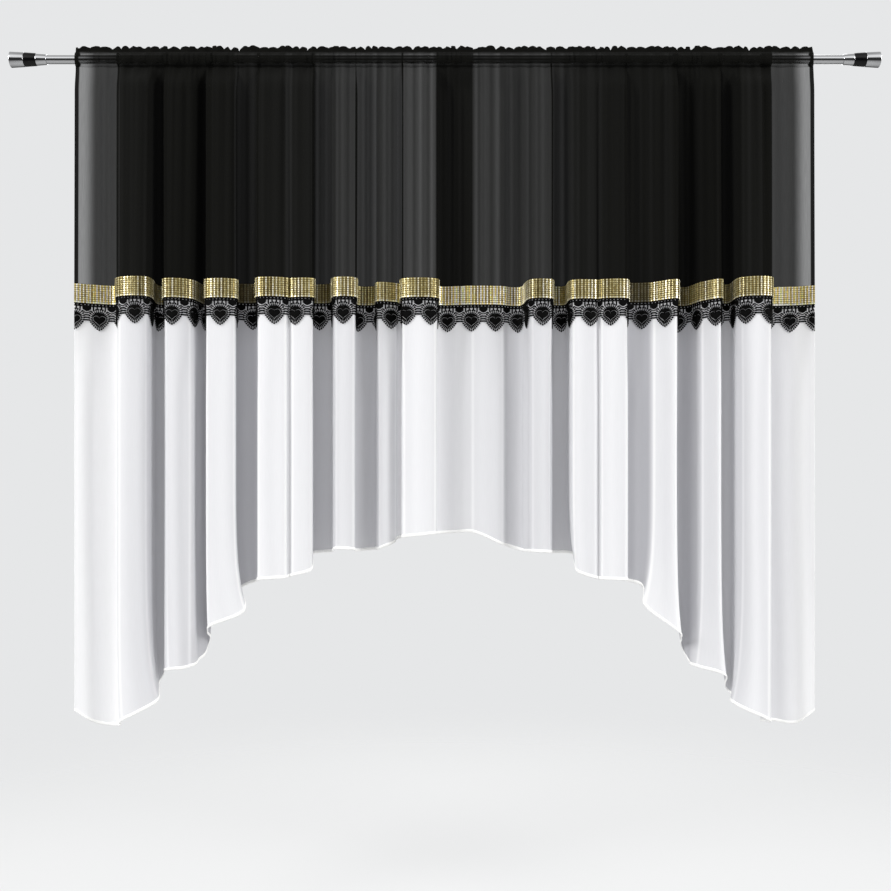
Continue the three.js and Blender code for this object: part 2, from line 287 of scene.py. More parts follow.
def voileWeave(tree, strength):
    # slubs along the upright threads, and the relief that they give
    pitch = threadPitch["voile"]
    uv = addNode(tree, "ShaderNodeUVMap", {"uv_map": "cloth"})
    threads = addNode(tree, "ShaderNodeMapping", {"Scale": (1 / pitch, 0.04 / pitch, 1)}, {"Vector": uv})
    slub = addNode(tree, "ShaderNodeTexNoise", {"Scale": 1.0, "Detail": 2.0}, {"Vector": threads})
    bump = addNode(tree, "ShaderNodeBump", {"Strength": strength, "Distance": 0.3 * mm}, {"Height": slub})
    return slub, bump


def blackVoile(tree):
    # Plain-weave polyester voile, dyed black: matt, nearly no gloss, see-through where it hangs
    # in one layer
    slub, bump = voileWeave(tree, 0.25)
    light = addNode(tree, "ShaderNodeAttribute", {"attribute_name": "light"})
    uneven = addNode(tree, "ShaderNodeMapRange", {"To Min": 0.8, "To Max": 1.2}, {"Value": slub})
    seen = addNode(tree, "ShaderNodeMath", {"operation": "MULTIPLY"},
                   {0: light.outputs["Fac"], 1: uneven})
    cover = addNode(tree, "ShaderNodeMath", {"operation": "SUBTRACT", 0: 1.0}, {1: seen})
    return addNode(tree, "ShaderNodeBsdfPrincipled", {
        "Base Color": hexColor("#0D0D0B"), "Roughness": 0.9, "Specular IOR Level": 0.05,
        "Sheen Weight": 0.01, "Sheen Roughness": 0.5,
    }, {"Alpha": cover, "Normal": bump})


def whiteVoile(tree):
    # The same voile in optical white: it scatters light through itself, so the folds glow softly.
    # The tone paints shade, cool grey, into the hollows and paints highlights down the edges of the fronts.
    slub, bump = voileWeave(tree, 0.2)
    cover = addNode(tree, "ShaderNodeMapRange", {"To Min": 0.90, "To Max": 0.98}, {"Value": slub})
    tone = addNode(tree, "ShaderNodeAttribute", {"attribute_name": "tone"})
    # painted shade at 0, the fronts' white near 0.8, painted highlight at 1
    colors = addNode(tree, "ShaderNodeValToRGB", {"stops": (
        (0.0, hexColor("#B9B9BE")), (1.0, hexColor("#FFFFFF")), (0.8, hexColor("#EFEFF1")),
    )}, {"Fac": tone.outputs["Fac"]})
    cloth = addNode(tree, "ShaderNodeBsdfPrincipled", {
        "Roughness": 0.85, "Specular IOR Level": 0.15, "Sheen Weight": 0.35, "Sheen Roughness": 0.25,
    }, {"Base Color": colors, "Alpha": cover, "Normal": bump})
    glow = addNode(tree, "ShaderNodeBsdfTranslucent", None, {"Color": colors, "Normal": bump})
    return addNode(tree, "ShaderNodeMixShader", {0: 0.2}, {1: cloth, 2: glow})


def whiteRolledHem(tree):
    # Rolled hem of the white voile: several layers, so it is solid and a little brighter
    uv = addNode(tree, "ShaderNodeUVMap", {"uv_map": "cloth"})
    stitches = addNode(tree, "ShaderNodeTexWave", {"Scale": 60.0, "Distortion": 0.4}, {"Vector": uv})
    bump = addNode(tree, "ShaderNodeBump", {"Strength": 0.3, "Distance": 0.3 * mm},
                   {"Height": stitches.outputs["Fac"]})
    return addNode(tree, "ShaderNodeBsdfPrincipled", {
        "Base Color": hexColor("#FFFFFD"), "Roughness": 0.75, "Sheen Weight": 0.4,
    }, {"Normal": bump})


def goldFoiledAcrylic(tree):
    # Gold-foiled acrylic stones with bright facets. Painted highlights: the lowest row is painted paler, and
    # every second column is painted brighter, so there are upright bright lines. Painted shade darkens the
    # band in the hollows between folds, and painted light makes it paler where it lies back, behind the rod's
    # line.
    # tone: random per column and per piece, plus painted highlights on every second column and the lowest row
    tone = addNode(tree, "ShaderNodeAttribute", {"attribute_name": "tone"})
    colors = addNode(tree, "ShaderNodeValToRGB", {"stops": (
        (0.0, hexColor("#57481C")), (0.95, hexColor("#FFFDF0")),
        (0.4, hexColor("#9C8C52")), (0.7, hexColor("#E2D8A8")),
    )}, {"Fac": tone.outputs["Fac"]})
    # painted shade: the colour is darker where the white cloth's painted shading is low, in the hollows
    # between folds
    lit = addNode(tree, "ShaderNodeAttribute", {"attribute_name": "lit"})
    hollow = addNode(tree, "ShaderNodeMapRange", {
        "From Min": 0.05, "From Max": 0.8, "To Min": 0.16, "To Max": 1.0,
    }, {"Value": lit.outputs["Fac"]})
    paintedHollowShade = addNode(tree, "ShaderNodeVectorMath", {"operation": "SCALE"}, {"Vector": colors, "Scale": hollow})
    # painted light: the colour is made up to three times brighter where the band lies back, behind the rod's
    # line
    where = addNode(tree, "ShaderNodeTexCoord")
    deep = addNode(tree, "ShaderNodeSeparateXYZ", None, {"Vector": where.outputs["Object"]})
    lift = addNode(tree, "ShaderNodeMapRange", {
        "From Min": -0.01, "From Max": 0.025, "To Min": 1.0, "To Max": 3.0,
    }, {"Value": deep.outputs["Y"]})
    paintedLightBehind = addNode(tree, "ShaderNodeVectorMath", {"operation": "SCALE"}, {"Vector": paintedHollowShade, "Scale": lift})
    shown = addNode(tree, "ShaderNodeVectorMath", {"operation": "MINIMUM", 1: (1.0, 0.99, 0.93)},
                    {0: paintedLightBehind})
    return addNode(tree, "ShaderNodeBsdfPrincipled", {"Metallic": 0.5, "Roughness": 0.35},
                   {"Base Color": shown})


def goldPlasticNet(tree):
    # Dark gold plastic net that the stones are set in, seen as thin lines between them
    where = addNode(tree, "ShaderNodeTexCoord")
    grime = addNode(tree, "ShaderNodeTexNoise", {"Scale": 180.0}, {"Vector": where.outputs["Object"]})
    colors = addNode(tree, "ShaderNodeValToRGB", {
        "stops": ((0.3, hexColor("#2E2408")), (0.7, hexColor("#5A4716"))),
    }, {"Fac": grime})
    return addNode(tree, "ShaderNodeBsdfPrincipled", {"Roughness": 0.4, "Metallic": 0.4},
                   {"Base Color": colors})


def blackGuipure(tree):
    # Guipure embroidered in black rayon thread: dense satin stitches, deep black, barely glossy
    where = addNode(tree, "ShaderNodeTexCoord")
    threads = addNode(tree, "ShaderNodeTexNoise", {"Scale": 1 / threadPitch["lace"], "Detail": 1.0},
                      {"Vector": where.outputs["Object"]})
    bump = addNode(tree, "ShaderNodeBump", {"Strength": 0.5, "Distance": 0.25 * mm}, {"Height": threads})
    return addNode(tree, "ShaderNodeBsdfPrincipled", {
        "Base Color": hexColor("#050505"), "Roughness": 0.7, "Specular IOR Level": 0.06,
    }, {"Normal": bump})


def chromePlatedSteel(tree):
    # Bright chrome on steel tube: mirror finish with faint drawing lines along the rod
    where = addNode(tree, "ShaderNodeTexCoord")
    drawn = addNode(tree, "ShaderNodeMapping", {"Scale": (6.0, 700.0, 700.0)},
                    {"Vector": where.outputs["Object"]})
    lines = addNode(tree, "ShaderNodeTexNoise", {"Scale": 1.0}, {"Vector": drawn})
    gloss = addNode(tree, "ShaderNodeMapRange", {"To Min": 0.05, "To Max": 0.11}, {"Value": lines})
    return addNode(tree, "ShaderNodeBsdfPrincipled", {
        "Base Color": hexColor("#E3E4E6"), "Metallic": 1.0,
    }, {"Roughness": gloss})


def blackEnamel(tree):
    # Stoved black enamel: deep gloss with a slight orange peel
    where = addNode(tree, "ShaderNodeTexCoord")
    peel = addNode(tree, "ShaderNodeTexNoise", {"Scale": 300.0}, {"Vector": where.outputs["Object"]})
    bump = addNode(tree, "ShaderNodeBump", {"Strength": 0.06, "Distance": 0.1 * mm}, {"Height": peel})
    return addNode(tree, "ShaderNodeBsdfPrincipled", {
        "Base Color": hexColor("#060607"), "Roughness": 0.16, "IOR": 1.4,
    }, {"Normal": bump})


finishes = {make.__name__: newMaterial(make) for make in (
    blackVoile, whiteVoile, whiteRolledHem, goldFoiledAcrylic, goldPlasticNet, blackGuipure,
    chromePlatedSteel, blackEnamel,
)}


def settle(piece, finish, slot, *nodes):
    piece.data.materials.clear()
    piece.data.materials.append(finishes[finish])
    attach(piece, "root")
    if nodes:
        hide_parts(*nodes)
    return piece


print("black panel")

heading = {
    "columns": 1180,
    "pocketHalf": 15.5,     # half the pocket's height
    "pocketDepth": 10.4,    # from the rod's axis to the cloth where it lies closest
    "gatherDepth": 5.0,     # how far the gathers stand off the rod
    "endsFlat": 60.0,       # over this far from each side the gathers grow
    "frillTop": 29.5,
    "frillDip": 4.0,        # least and most depth of the dips between the frill's crests
    "frillDeep": 9.5,
    "crestPitch": 18.5,     # along the rod
    "sway": 1.6,            # how far the cloth is pleated forward and back, and sideways
    "waver": 0.9,
    "fan": 0.0004,          # fronts are a little wider on the rod, per mm they swing forward
    "ends": 0.996,          # the gathered ends are drawn in a little
    "fallRows": 43,
    "foldsOpen": -68.0,     # the folds have opened by openShare here, and fully at the seam
    "openShare": 0.62,
    "creaseDepth": 1.5,
}
# light through the cloth of a side: at its edge and inside it, between two distances from it
sideLight = {"edge": 0.31, "inner": 0.052, "from": 16.0, "to": 44.0, "hem": 0.10}
gatheredLight = 0.06    # share of a layer's light that gets through where it is pleated tightly
sheerLayer = 0.15       # power of the light in a layer that is sheerer than the fall


def crests(x):
    # the frill seen from the front: round crests from 12 to 30 mm wide, and narrow dips
    phase = x / heading["crestPitch"] + 0.33 * np.sin(x / 27.0) + 0.3 * np.sin(x / 71.0 + 1.0)
    crest = np.abs(np.sin(math.pi * phase)) ** 0.65
    deep = (0.5 + 0.5 * np.sin(x / 19.0 + 2.0 * np.sin(x / 133.0))) ** 3
    depth = heading["frillDip"] + (heading["frillDeep"] - heading["frillDip"]) * deep
    atEnd = smoothStep(np.minimum(x - seamPath[0, 0], seamPath[-1, 0] - x), 0, 14.0)
    dip = (depth * (1 - crest) + 1.2 * waves(x, 9, 60.0, 4)) * atEnd + 4.5 * (1 - atEnd)
    return dip, np.cos(math.pi * phase) * atEnd


def blackLight(x):
    # light that comes through one layer, in bands that run down the folds: x is the seam's
    places, values = [-900.0], [sideLight["inner"]]
    for fold, look in zip(folds, looks):
        left, right = fold["left"], fold["right"]
        places += [left - 2.0, left + 2.0, right - 2.0, right + 2.0]
        values += [values[-1], look["blackFront"], look["blackFront"], look["blackFloor"]]
    places += [folds[-1]["floorRight"], folds[-1]["floorRight"] + 5.0]
    values += [looks[-1]["blackFloor"], sideLight["inner"]]
    bands = np.interp(x, places, values)
    fromSide = np.minimum(x - seamPath[0, 0], seamPath[-1, 0] - x)
    inner = 0.25 + 0.75 * smoothStep(fromSide, 80, 140)
    streaks = np.exp(inner * (0.20 * waves(x, 5, 22.0) + 0.12 * waves(x, 6, 9.0)))
    fade = 1 - smoothStep(fromSide, sideLight["from"], sideLight["to"])
    return bands * streaks + (sideLight["edge"] - sideLight["inner"]) * fade


def makeBlackPanel():
    marks, behind, hemmed = sheetColumns(heading["columns"])
    upper, _, _ = clothLine(marks)
    front = fronts(upper) * np.where(behind > 0, -1, 1)[:, None]
    rodX = upper[:, 0] * (1 - heading["fan"] * upper[:, 1]) * heading["ends"]
    bands = blackLight(upper[:, 0])
    dip, sway = crests(rodX)
    pleat = heading["sway"] * sway
    fine = waves(rodX, 8, 11.0)
    waver = heading["waver"] * fine
    swing = -upper[:, 1] * seam["lift"]
    top = heading["frillTop"] - dip
    half = heading["pocketHalf"]
    grown = smoothStep(np.minimum(marks, clothWidth - marks), 0, heading["endsFlat"])
    gather = grown * (0.5 + 0.35 * sway + 0.15 * fine)
    depth = heading["pocketDepth"] + heading["gatherDepth"] * gather
    rows, lights = [], []

    def addRow(x, y, z, layer=1.0, dense=1.0):
        # layer is the power of the light, and dense the share of it that is left
        rows.append(np.stack(np.broadcast_arrays(x, y, z), axis=-1))
        light = dense * bands ** layer
        lights.append(np.where(hemmed > 0, np.minimum(light, sideLight["hem"]), light))

    def addPocket(side, turns):
        for turn in turns:
            bulge = math.cos(turn)
            y = side * depth * bulge + pleat * (1 - bulge) + side * 0.5
            layer, dense = sheerLayer, 1.0
            if side < 0:
                layer = 0.6 + 0.4 * smoothStep(-turn, 0.7, 1.3)
                dense = gatheredLight + (1 - gatheredLight) * smoothStep(-turn, -1.3, 0.3)
            addRow(rodX + waver * bulge, y, half * math.sin(turn), layer, dense)

    def addFrill(side, shares):
        for t in shares:
            y = side * 0.5 * (1 - t) + pleat + 1.4 * t * sway
            addRow(rodX + waver * t, y, half + (top - half) * t, 1.0, gatheredLight)

    # up behind the rod, over the top of the frill, and down in front of the rod
    addRow(rodX, 0.5 + pleat, -half - 1.5, sheerLayer)
    turns = np.linspace(-math.pi / 2, math.pi / 2, 9)
    shares = (0.3, 0.6, 0.85)
    addPocket(1, turns)
    addFrill(1, shares)
    addRow(rodX + waver, 3.0 * sway, top, 1.0, gatheredLight)
    addFrill(-1, shares[::-1])
    addPocket(-1, turns[::-1])

    # the fall: gathers fade out and folds open
    start, end = -half - 1.0, seam["blackEnd"] + swing
    opened = heading["foldsOpen"]
    for t in np.linspace(0, 1, heading["fallRows"] + 1)[1:] ** 1.2:
        z = start + (end - start) * t
        fade = np.exp((half + z) / 30.0)
        below = np.clip((opened - z) / (opened - seam["blackEnd"]), 0, 1)
        opening = below + heading["openShare"] * (smoothStep(-z, half, -opened) - below)
        x = rodX + (upper[:, 0] - rodX) * opening
        y = upper[:, 1] * opening + (2.2 * sway + 0.8 * fine) * fade
        creases = waves(x, 3, 30.0) + 0.5 * waves(x, 4, 12.0)
        out = heading["creaseDepth"] * (1 - 0.75 * t) * min(1, t * 8) * creases
        addRow(x + front[:, 0] * out * opening, y + front[:, 1] * out, z)
    grid = np.stack(rows)
    grid[:, :, 1] += behind * sideHem["behind"]
    return makeSheet("black_panel", grid, marks, {"light": np.clip(np.stack(lights), 0, 0.8)})


blackPanel = settle(makeBlackPanel(), "blackVoile", "black_voile", "upper_panel")

print("white panel")

whiteSheet = {
    "rows": 66, "columns": 1130,
    "out": -1.5,            # behind the black cloth at the seam
    "ripple": 1.2, "ripplePitch": 58.0,
    "growFrom": 600, "growTo": 760,     # the ripples grow between these distances below the rod
    "flare": 9.0,           # the hem's sideways swing grows with this power of the fall
}
# how the white's tone is made up of the folds' painted shading, painted shade that follows the ripples, and
# the side hems
whiteTone = {"fold": 0.8, "ripple": 0.025, "hem": 0.05}


def makeWhitePanel():
    marks, behind, hemmed = sheetColumns(whiteSheet["columns"])
    upper, lower, white = clothLine(marks)
    swing = -upper[:, 1] * seam["lift"]
    hem = lower[:, 2]
    start, laceEnd = seam["whiteStart"] + swing, seam["belowLace"] + swing
    facing = np.where(behind > 0, -1, 1)
    inside = slice(sideHem["columns"], -sideHem["columns"])
    ripples = waves(marks, 11, whiteSheet["ripplePitch"])
    slow = waves(marks, 12, 170.0)
    rows, tones = [], []
    for t in 1 - (1 - np.linspace(0, 1, whiteSheet["rows"])) ** 1.5:
        z = start + (hem - start) * t
        share = np.clip((laceEnd - z) / (laceEnd - hem), 0, 1) ** whiteSheet["flare"]
        line = upper + (lower[:, :2] - upper) * share[:, None]
        growth = smoothStep(-z, whiteSheet["growFrom"], whiteSheet["growTo"])
        ripple = np.interp(marks + 5.0 * np.sin(z / 190.0), marks[inside], ripples[inside])
        depth = whiteSheet["out"] - behind * sideHem["behind"] - 0.3 * growth * (1 + slow)
        depth = depth + whiteSheet["ripple"] * growth * ripple
        xy = line + fronts(line) * (depth * facing)[:, None]
        rows.append(np.stack([xy[:, 0], xy[:, 1], z], axis=-1))
        tones.append(whiteTone["fold"] * white + whiteTone["ripple"] * ripple + whiteTone["hem"] * hemmed)
    return makeSheet("white_panel", np.stack(rows), marks, {"tone": np.stack(tones)})


whitePanel = settle(makeWhitePanel(), "whiteVoile", "white_voile", "lower_panel")

roll = {"height": 6.6, "thick": 2.4, "sides": 8, "rise": 0.85}


def makeRolledHem(panel):
    # a flat roll along the white panel's lowest row
    count, turned = whiteSheet["columns"], sideHem["columns"]
    points = np.array([v.co[:] for v in panel.data.vertices]) / mm
    points = points.reshape(-1, count + 2 * turned, 3)[:, turned:-turned]
    edge = points[-1]
    up = unit(points[-2] - edge)
    out = unit(np.cross(unit(np.gradient(edge, axis=0)), up))
    rows = []
    for angle in np.linspace(2 * math.pi, 0, roll["sides"] + 1):
        rise = up * (roll["height"] / 2) * (roll["rise"] + math.cos(angle))
        rows.append(edge + rise + out * (roll["thick"] / 2) * math.sin(angle))
    return makeSheet("white_hem", np.stack(rows), np.linspace(0, clothWidth, count))


whiteRoll = settle(makeRolledHem(whitePanel), "whiteRolledHem", "white_voile")

print("repeats along the seam")


def pathCurve():
    # the seam's line in plan; a point's radius carries the white cloth's painted shading there
    data = bpy.data.curves.new("seamPath", "CURVE")
    data.dimensions = "3D"
    spline = data.splines.new("POLY")
    spline.points.add(len(seamPath) - 1)
    flat = np.column_stack([seamPath[:, :2] * mm, np.zeros(len(seamPath)), np.ones(len(seamPath))])
    spline.points.foreach_set("co", flat.ravel())
    spline.points.foreach_set("radius", clothLine(pathMarks)[2])
    return addObject("seamPath", data)


def repeatTree():
    # Columns and rows of a piece are laid out flat, each turned a little, then wrapped on the path.
    # X is the distance along the cloth, -Y stands off it and Z is the height.
    tree = bpy.data.node_groups.new("repeatAlongCloth", "GeometryNodeTree")
    tree.is_modifier = True
    sockets = {
        "Object": ("Path", "Piece"), "Material": ("Finish",), "Int": ("Columns", "Rows", "Seed"),
        "Float": ("Pitch", "Row Pitch", "Top", "Out", "Column Turn", "Tilt", "Lift"),
    }
    for kind, labels in sockets.items():
        for label in labels:
            tree.interface.new_socket(label, in_out="INPUT", socket_type="NodeSocket" + kind)
    tree.interface.new_socket("Geometry", in_out="OUTPUT", socket_type="NodeSocketGeometry")
    given = addNode(tree, "NodeGroupInput").outputs

    def calc(operation, a, b=0.0):
        pair = {0: a, 1: b}
        numbers = {k: value for k, value in pair.items() if isinstance(value, (int, float))}
        linked = {k: value for k, value in pair.items() if k not in numbers}
        return addNode(tree, "ShaderNodeMath", {"operation": operation, **numbers}, linked).outputs[0]

    def drawn(spread, identity, offset):
        # random between minus and plus the spread
        node = addNode(tree, "FunctionNodeRandomValue", {"data_type": "FLOAT"}, {
            2: calc("MULTIPLY", spread, -1.0), 3: spread, "ID": identity,
            "Seed": calc("ADD", given["Seed"], offset),
        })
        return node.outputs[1]

    index = addNode(tree, "GeometryNodeInputIndex").outputs["Index"]
    column = calc("FLOOR", calc("DIVIDE", calc("ADD", index, 0.5), given["Rows"]))
    row = calc("SUBTRACT", index, calc("MULTIPLY", column, given["Rows"]))
    spot = addNode(tree, "ShaderNodeCombineXYZ", None, {
        "X": calc("MULTIPLY", calc("ADD", column, 0.5), given["Pitch"]),
        "Y": calc("MULTIPLY", given["Out"], -1.0),
        "Z": calc("SUBTRACT", given["Top"], calc("MULTIPLY", calc("ADD", row, 0.5), given["Row Pitch"])),
    })
    count = calc("MULTIPLY", given["Columns"], given["Rows"])
    points = addNode(tree, "GeometryNodePoints", None, {"Count": count, "Position": spot})
    roll = drawn(given["Tilt"], index, 3)
    angles = addNode(tree, "ShaderNodeCombineXYZ", None, {
        "X": drawn(given["Tilt"], index, 2), "Y": calc("MULTIPLY", roll, 0.5),
        "Z": calc("ADD", drawn(given["Column Turn"], column, 1), roll),
    })
    source = addNode(tree, "GeometryNodeObjectInfo", None, {"Object": given["Piece"]})
    copies = addNode(tree, "GeometryNodeInstanceOnPoints", None, {
        "Points": points, "Instance": source.outputs["Geometry"], "Rotation": angles,
    })

    # each copy's tone: random by column and by piece, with painted highlights: every second column is
    # brighter, and so is the lowest row
    ofColumn = addNode(tree, "FunctionNodeRandomValue", {"data_type": "FLOAT"}, {"ID": column})
    ofPiece = addNode(tree, "FunctionNodeRandomValue", {"data_type": "FLOAT"}, {"ID": index})
    lowest = calc("GREATER_THAN", row, calc("SUBTRACT", given["Rows"], 1.5))
    tone = calc("MULTIPLY", calc("MODULO", column, 2.0), 0.42)
    for shade, weight in ((ofColumn.outputs[1], 0.38), (ofPiece.outputs[1], 0.16), (lowest, 0.2)):
        tone = calc("ADD", tone, calc("MULTIPLY", shade, weight))
    kept = addNode(tree, "GeometryNodeStoreNamedAttribute",
                   {"data_type": "FLOAT", "domain": "INSTANCE", "Name": "tone"},
                   {"Geometry": copies, "Value": tone})
    real = addNode(tree, "GeometryNodeRealizeInstances", None, {"Geometry": kept})

    # wrapped on the path, and lifted where the path swings forward
    place = addNode(tree, "GeometryNodeInputPosition")
    flat = addNode(tree, "ShaderNodeSeparateXYZ", None, {"Vector": place}).outputs
    path = addNode(tree, "GeometryNodeObjectInfo", None, {"Object": given["Path"]})
    bright = addNode(tree, "GeometryNodeInputRadius")
    on = addNode(tree, "GeometryNodeSampleCurve", {"mode": "LENGTH", "data_type": "FLOAT"}, {
        "Curves": path.outputs["Geometry"], "Length": flat["X"], "Value": bright,
    }).outputs
    run = addNode(tree, "ShaderNodeSeparateXYZ", None, {"Vector": on["Tangent"]}).outputs
    center = addNode(tree, "ShaderNodeSeparateXYZ", None, {"Vector": on["Position"]}).outputs
    wrapped = addNode(tree, "ShaderNodeCombineXYZ", None, {
        "X": calc("SUBTRACT", center["X"], calc("MULTIPLY", run["Y"], flat["Y"])),
        "Y": calc("ADD", center["Y"], calc("MULTIPLY", run["X"], flat["Y"])),
        "Z": calc("SUBTRACT", flat["Z"], calc("MULTIPLY", center["Y"], given["Lift"])),
    })
    # lit: the white cloth's painted shading, carried by the path's radius, for painted shade on the band
    lit = addNode(tree, "GeometryNodeStoreNamedAttribute",
                  {"data_type": "FLOAT", "domain": "POINT", "Name": "lit"},
                  {"Geometry": real, "Value": on["Value"]})
    bent = addNode(tree, "GeometryNodeSetPosition", None, {"Geometry": lit, "Position": wrapped})
    finish = addNode(tree, "GeometryNodeSetMaterial", None, {"Geometry": bent, "Material": given["Finish"]})
    addNode(tree, "NodeGroupOutput", None, {"Geometry": finish})
    return tree


def repeatPiece(name, tree, values):
    holder = addObject(name + "Builder", bpy.data.meshes.new(name + "Builder"))
    modifier = holder.modifiers.new("repeat", "NODES")
    modifier.node_group = tree
    for item in tree.interface.items_tree:
        if item.in_out == "INPUT" and item.name in values:
            modifier[item.identifier] = values[item.name]
    holder.update_tag()
    graph = bpy.context.evaluated_depsgraph_get()
    mesh = bpy.data.meshes.new_from_object(holder.evaluated_get(graph))
    mesh.name = name
    bpy.data.objects.remove(holder)
    bpy.data.objects.remove(values["Piece"])
    print(name, len(mesh.polygons), "faces")
    return addObject(name, mesh)


def looseObject(name, bm):
    mesh = bpy.data.meshes.new(name)
    bm.to_mesh(mesh)
    bm.free()
    mesh.transform(Matrix.Scale(mm, 4))
    return addObject(name, mesh)


def ringFaces(bm, lower, upper):
    for k in range(len(lower)):
        n = (k + 1) % len(lower)
        bm.faces.new((lower[k], lower[n], upper[n], upper[k]))


seamCurve = pathCurve()
clothTree = repeatTree()

print("gold band")

stone = {
    "pitch": 3.6, "rows": 9, "width": 3.05, "tall": 3.85, "table": 0.74, "girdle": 0.5, "height": 1.4,
    "out": 2.7,             # in front of the sewing line
}
net = {"columns": 900, "back": 2.2, "front": 2.9}


def stoneShape():
    bm = bmesh.new()
    corners = ((-1, -1), (1, -1), (1, 1), (-1, 1))

    def ring(share, out):
        across, up = share * stone["width"] / 2, share * stone["tall"] / 2
        return [bm.verts.new((x * across, -out, z * up)) for x, z in corners]

    back = ring(1.0, 0.0)
    girdle = ring(1.0, stone["girdle"])
    table = ring(stone["table"], stone["height"])
    ringFaces(bm, back, girdle)
    ringFaces(bm, girdle, table)
    bm.faces.new(table)
    bm.faces.new(back[::-1])
    return looseObject("stone", bm)


columns = round(clothWidth / stone["pitch"])
goldBand = repeatPiece("gold_stones", clothTree, {
    "Path": seamCurve, "Piece": stoneShape(), "Finish": finishes["goldFoiledAcrylic"],
    "Columns": columns, "Rows": stone["rows"], "Seed": 21,
    "Pitch": clothWidth / columns * mm, "Row Pitch": seam["bandHeight"] / stone["rows"] * mm,
    "Top": seam["bandTop"] * mm, "Out": stone["out"] * mm,
    "Column Turn": 0.08, "Tilt": 0.03, "Lift": seam["lift"],
})
settle(goldBand, "goldFoiledAcrylic", "gold_stones", "gold_band")


def makeBandNet():
    marks = np.linspace(0, clothWidth, net["columns"])
    upper, _, _ = clothLine(marks)
    front = fronts(upper)
    top = seam["bandTop"] - upper[:, 1] * seam["lift"]
    bottom = top - seam["bandHeight"]
    corners = ((top, "back"), (top, "front"), (bottom, "front"), (bottom, "back"), (top, "back"))
    rows = [np.column_stack([upper + front * net[face], z]) for z, face in corners]
    return makeSheet("gold_net", np.stack(rows), marks)


bandNet = settle(makeBandNet(), "goldPlasticNet", "gold_stones")

print("lace")

# places are (across from the middle, drop below the band)
lace = {
    "scallops": 55,
    # right half of the outer row of beads, from its top
    "outline": ((0, 12.2), (6, 12.8), (12.5, 15.2), (18, 20.0), (21.1, 27), (21.2, 33.5), (18.4, 40.5),
                (11.6, 48.8), (5.6, 54.6), (0, 57.6)),
    "middle": (0, 35.0),
    "rows": ((1.0, 2.3, 27), (0.76, 1.8, 27)),      # share of the outline, bead radius, beads
    "ground": 0.7,          # plain ground round the heart, as a share of the outline
    "groundThick": 0.7,
    "groundPoints": 44,
    "heartWidth": 26.5,
    "heartHeight": 21.5,
    "heartTop": 27.0,
    "heartPoints": 48,
    "thick": 1.5,
    # over the valley between two hearts: a leaf, a cord under it and three bars
    "leaf": ((-9.5, 5.5), (9.5, 5.5), (9.5, 12.0), (5.0, 15.6), (0, 17.2), (-5.0, 15.6), (-9.5, 12.0)),
    "leafMiddle": (0, 9.5),
    "leafCord": ((-9.5, 15.6), (-5.0, 19.0), (0, 20.4), (5.0, 19.0), (9.5, 15.6)),
    "bars": ((25.0, 5.2), (30.6, 4.6), (36.2, 5.6)),    # drop, reach to either side
    # heading: the strip sewn behind the band, and two cords: drop, width, height
    "headingCords": ((-4.6, 11.4, 0.4), (0.8, 2.0, 1.2), (5.2, 3.2, 1.5)),
    "headingBars": 7,
    "widest": 4.8,          # a face wider than this is cut where the cloth bends
}
scallop = clothWidth / lace["scallops"]


def addBead(bm, across, drop, radius, height):
    def ring(size, out):
        spots = [(across + size * math.cos(a), -out, -drop + size * math.sin(a)) for a in roundTurns(6)]
        return [bm.verts.new(spot) for spot in spots]

    low, mid = ring(radius, 0.0), ring(radius * 0.72, height * 0.75)
    tip = bm.verts.new((across, -height, -drop))
    ringFaces(bm, low, mid)
    for k in range(6):
        bm.faces.new((mid[k], mid[(k + 1) % 6], tip))
    bm.faces.new(low[::-1])


def addCord(bm, line, width, height):
    # a raised cord along a flat line of (across, drop) points
    points = np.array(line, float)
    side = fronts(points) * width / 2
    sections = []
    for p, n in zip(points, side):
        spots = ((p - n, 0.0), (p - 0.5 * n, height), (p + 0.5 * n, height), (p + n, 0.0))
        sections.append([bm.verts.new((q[0], -out, -q[1])) for q, out in spots])
    for low, high in zip(sections, sections[1:]):
        ringFaces(bm, low, high)
    bm.faces.new(sections[0][::-1])
    bm.faces.new(sections[-1])


def addPad(bm, outline, middle, steps):
    # a raised pad: its outline drawn in to the middle by (share, height) steps, and a flat back
    line, middle = np.array(outline, float), np.array(middle, float)
    rings = []
    for share, out in ((1.0, 0.0),) + steps:
        spots = middle + (line - middle) * share
        rings.append([bm.verts.new((p[0], -out, -p[1])) for p in spots])
    for low, high in zip(rings, rings[1:]):
        ringFaces(bm, low, high)
    bm.faces.new(rings[-1])
    bm.faces.new(rings[0][::-1])


def heartLine(width, height, top, steps):
    # heart outline: the usual sine curve, scaled to its width and height
    turns = roundTurns(steps)
    x = np.sin(turns) ** 3
    y = 13 * np.cos(turns) - 5 * np.cos(2 * turns) - 2 * np.cos(3 * turns) - np.cos(4 * turns)
    y = (y.max() - y) / (y.max() - y.min())
    return np.stack([x * width / 2, top + y * height], axis=-1)


def scallopLine(share, steps=12):
    # closed line round the motif, drawn in to its middle by a share
    right = np.array(lace["outline"], float)
    left = right[-2:0:-1] * (-1, 1)
    loop = np.vstack([right, left])
    points = np.column_stack([np.vstack([loop, loop[:1]]), np.zeros(len(loop) + 1)])
    line = smoothPath(points, steps)[:-1, :2]
    return np.array(lace["middle"]) + (line - lace["middle"]) * share


def evenSpots(line, count):
    # evenly spaced places round a closed line
    closed = np.vstack([line, line[:1]])
    marks = distances(closed)
    at = marks[-1] * (np.arange(count) + 0.5) / count
    return np.stack([np.interp(at, marks, closed[:, k]) for k in (0, 1)], axis=-1)


def byAngle(line, middle, turns):
    # where rays from the middle meet a closed line
    away = line - middle
    angles = np.arctan2(away[:, 1], away[:, 0])
    order = np.argsort(angles)
    reach = np.interp(turns, angles[order], np.linalg.norm(away, axis=1)[order], period=2 * math.pi)
    return middle + np.stack([np.cos(turns), np.sin(turns)], axis=-1) * reach[:, None]


